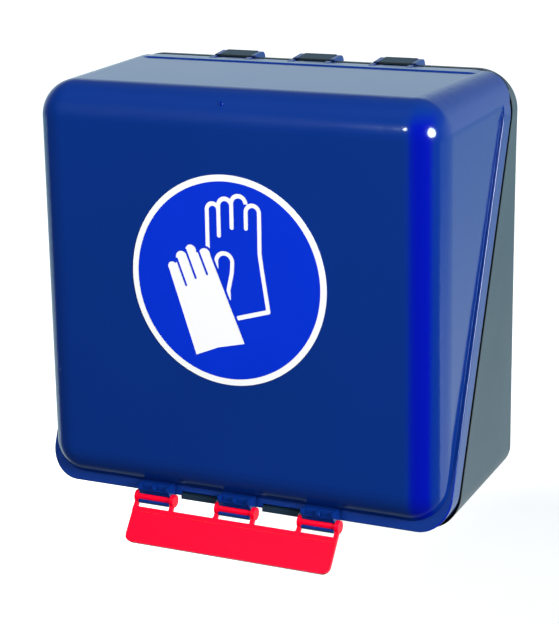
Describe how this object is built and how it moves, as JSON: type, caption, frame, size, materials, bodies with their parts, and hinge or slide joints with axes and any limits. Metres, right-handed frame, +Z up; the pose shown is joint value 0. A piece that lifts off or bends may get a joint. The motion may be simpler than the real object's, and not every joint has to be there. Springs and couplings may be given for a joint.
{
  "type": "glove dispenser box",
  "caption": "Wall-mounted plastic box for disposable gloves, with a hinged front cover, a round glove sign, a slanting side seam and a small hinged flap below.",
  "frame": {"origin": "centre of the tray's rear face, which rests on the wall", "axes": "+X to the viewer's right, +Y into the wall, +Z up; the cover faces -Y"},
  "size_m": [0.236, 0.1352, 0.2495],
  "materials": {
    "tray_plastic": "satin moulded ABS, dark grey",
    "cover_plastic": "glossy moulded ABS, blue",
    "flap_plastic": "glossy moulded plastic, bright red",
    "label_film": "white self-adhesive film",
    "sign_ink": "blue print on film"
  },
  "bodies": {
    "tray": {"tray": "tray_plastic"},
    "cover": {"cover": "cover_plastic", "sign_label": "label_film", "sign_print": "sign_ink"},
    "flap": {"closing_flap": "flap_plastic"}
  },
  "joints": [
    {"name": "lid_hinge", "type": "hinge", "parent": "tray", "child": "cover", "pos_m": [0, -0.004, 0.1109], "axis": [-1, 0, 0], "range_deg": [0, 90]},
    {"name": "flap_hinge", "type": "hinge", "parent": "cover", "child": "flap", "pos_m": [0, -0.1184, -0.1131], "axis": [1, 0, 0], "range_deg": [-90, 118]}
  ]
}
